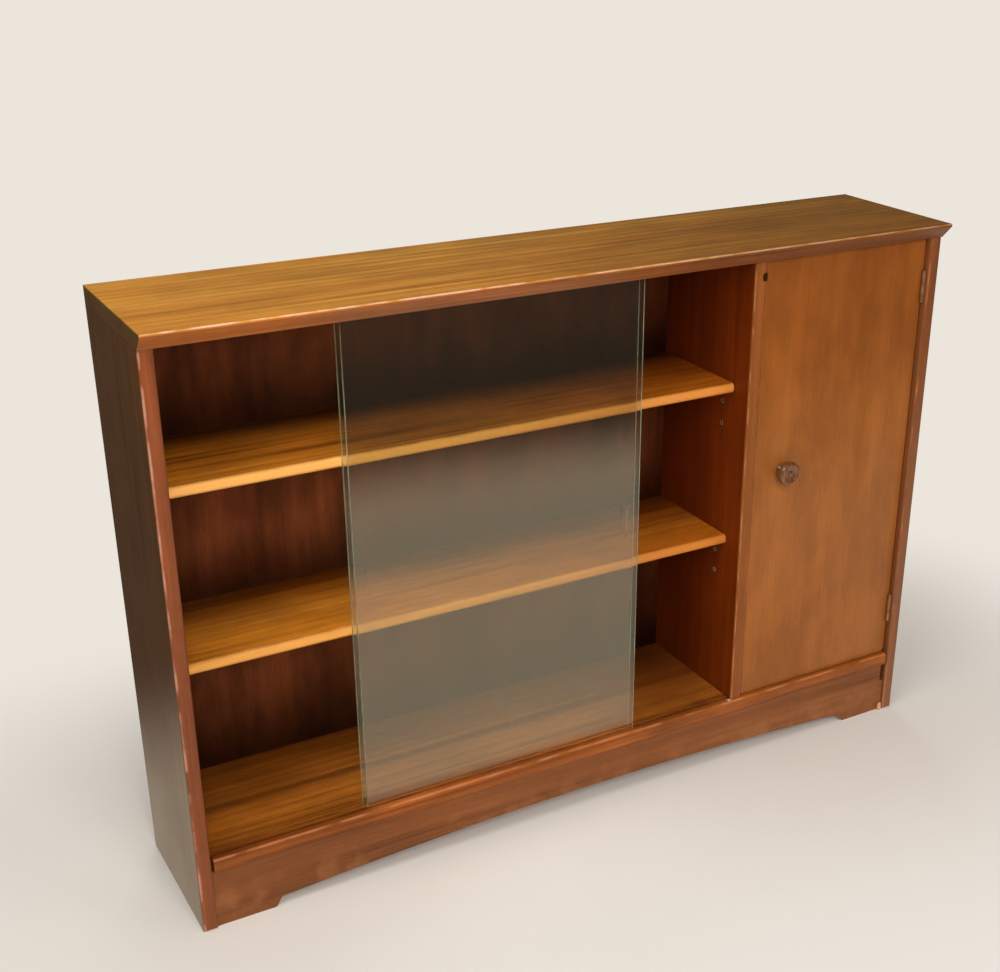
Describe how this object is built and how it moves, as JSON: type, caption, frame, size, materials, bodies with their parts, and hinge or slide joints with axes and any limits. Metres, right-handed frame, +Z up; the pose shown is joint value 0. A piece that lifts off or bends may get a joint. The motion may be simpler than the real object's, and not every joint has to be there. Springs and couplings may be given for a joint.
{
  "type": "bookcase with sliding glass doors",
  "caption": "Low wooden bookcase: a shelved bay behind sliding glass doors with finger pulls, and a narrow cupboard with a hinged, knobbed door, on an arched plinth.",
  "frame": {"origin": "on the floor, under the middle of the case's bounding box", "axes": "+X to the right of someone who faces the front, +Y to the back, +Z up"},
  "size_m": [1.22, 0.25, 0.845],
  "materials": {
    "top_wood": "satin varnish, golden brown",
    "case_wood": "satin varnish, red brown",
    "shelf_wood": "satin varnish, orange brown",
    "door_wood": "satin varnish, orange brown",
    "back_ply": "stained plywood",
    "hidden_wood": "bare softwood",
    "knob_wood": "dark polished turning",
    "brass": "tarnished",
    "steel": "plain",
    "glass": "clear, ground edges"
  },
  "bodies": {
    "cabinet": {"back_panel": "back_ply", "bottom_board": "case_wood", "catch_strike": "brass", "cupboard_shelf": "shelf_wood", "cupboard_shelf_stud_front_left": "brass", "cupboard_shelf_stud_front_right": "brass", "cupboard_shelf_stud_rear_left": "brass", "cupboard_shelf_stud_rear_right": "brass", "door_stop": "hidden_wood", "front_plinth": "case_wood", "left_side": "case_wood", "lower_hinge_frame_leaf": "brass", "lower_hinge_pin": "brass", "lower_shelf": "shelf_wood", "lower_shelf_stud_front_left": "brass", "lower_shelf_stud_front_right": "brass", "lower_shelf_stud_rear_left": "brass", "lower_shelf_stud_rear_right": "brass", "partition": "case_wood", "plinth_corner_block_left": "hidden_wood", "plinth_corner_block_right": "hidden_wood", "plinth_glue_block_1": "hidden_wood", "plinth_glue_block_2": "hidden_wood", "plinth_glue_block_3": "hidden_wood", "rear_rail": "hidden_wood", "right_side": "case_wood", "top_board": "top_wood", "top_dowel_left_1": "hidden_wood", "top_dowel_left_2": "hidden_wood", "top_dowel_right_1": "hidden_wood", "top_dowel_right_2": "hidden_wood", "upper_hinge_frame_leaf": "brass", "upper_hinge_pin": "brass", "upper_shelf": "shelf_wood", "upper_shelf_stud_front_left": "brass", "upper_shelf_stud_front_right": "brass", "upper_shelf_stud_rear_left": "brass", "upper_shelf_stud_rear_right": "brass"},
    "front_glass": {"front_glass": "glass"},
    "rear_glass": {"rear_glass": "glass"},
    "cupboard_door": {"catch_case": "brass", "cupboard_door": "door_wood", "door_knob": "knob_wood", "knob_screw": "steel", "lower_hinge_door_leaf": "brass", "upper_hinge_door_leaf": "brass"},
    "catch_ball": {"catch_ball": "steel"}
  },
  "joints": [
    {"name": "front_glass_slide", "type": "slide", "parent": "cabinet", "child": "front_glass", "axis": [1, 0, 0], "range_m": [-0.2305, 0.1815]},
    {"name": "rear_glass_slide", "type": "slide", "parent": "cabinet", "child": "rear_glass", "axis": [1, 0, 0], "range_m": [-0.2275, 0.1845]},
    {"name": "cupboard_door_hinge", "type": "hinge", "parent": "cabinet", "child": "cupboard_door", "pos_m": [0.5867, -0.1003, 0.4656], "axis": [0, 0, 1], "range_deg": [0, 145]},
    {"name": "catch_ball_spring", "type": "slide", "parent": "cupboard_door", "child": "catch_ball", "axis": [1, 0, 0], "range_m": [0, 0.0011], "stiffness_N_per_m": 300, "springref_m": -0.002}
  ]
}
